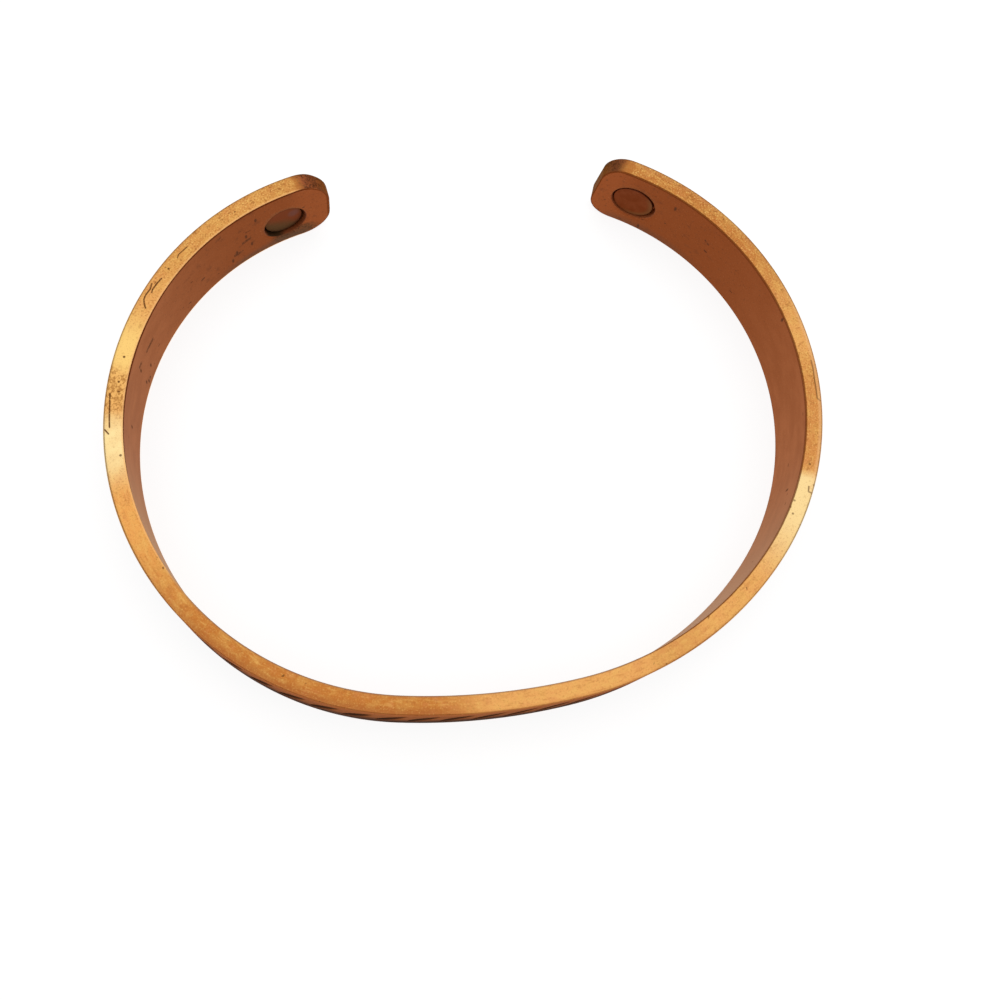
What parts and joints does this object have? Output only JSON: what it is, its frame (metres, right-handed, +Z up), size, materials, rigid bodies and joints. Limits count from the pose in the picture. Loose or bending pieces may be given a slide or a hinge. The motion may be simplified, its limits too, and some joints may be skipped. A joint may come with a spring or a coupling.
{
  "type": "magnetic bracelet",
  "caption": "Open oval wrist cuff bent from a flat copper strip with rounded ends, slanted flutes outside and a small disc magnet set flush inside each end.",
  "frame": {"origin": "under the middle of the cuff's outline, on the surface that its lower edge rests on", "axes": "+Z up, along the strip's width; +Y from the wearer's wrist out through the gap between the ends; +X along the oval's long way, from the left end's side to the right end's"},
  "size_m": [0.0688, 0.055, 0.009],
  "materials": {
    "copper": "solid copper, satin brushed, golden along the edges, browner inside, dark patina in the flutes",
    "left_magnet": "copper-plated disc magnet, dull, tarnished dark brown",
    "right_magnet": "copper-plated disc magnet, dull, red brown"
  },
  "bodies": {
    "root": {"cuff_band": "copper", "left_magnet": "left_magnet", "right_magnet": "right_magnet"}
  },
  "joints": []
}
